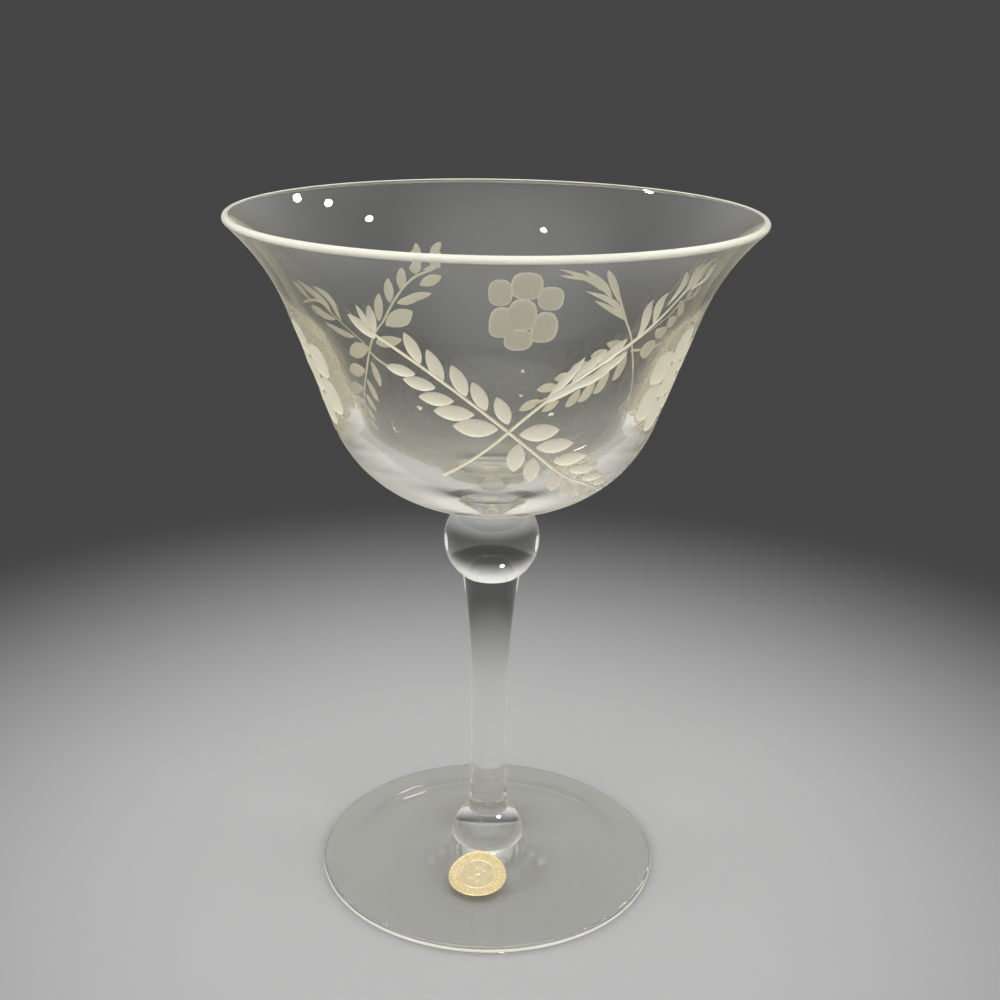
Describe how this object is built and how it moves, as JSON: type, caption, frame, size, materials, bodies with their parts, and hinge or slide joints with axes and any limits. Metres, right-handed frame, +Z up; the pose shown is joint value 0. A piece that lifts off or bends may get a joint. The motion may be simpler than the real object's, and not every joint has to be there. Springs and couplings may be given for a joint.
{
  "type": "champagne glass",
  "caption": "Clear stemmed champagne glass with a wide flared bowl, a solid ball knop, a drawn stem on a half-ball button and a low spread foot with a foil seal.",
  "frame": {"origin": "on the axis of the glass, in the plane that the foot stands on", "axes": "+Z up along the axis of the glass, -Y towards the viewer of the picture, with the foil seal just left of -Y"},
  "size_m": [0.1016, 0.1016, 0.14],
  "materials": {
    "clear_glass": "fire-polished clear glass, with a matt wheel-cut garland on the outside of the bowl",
    "gold_foil": "thin embossed gold foil"
  },
  "bodies": {
    "root": {"bowl": "clear_glass", "ball_knop": "clear_glass", "stem": "clear_glass", "foot_button": "clear_glass", "foot": "clear_glass", "foil_seal": "gold_foil"}
  },
  "joints": []
}
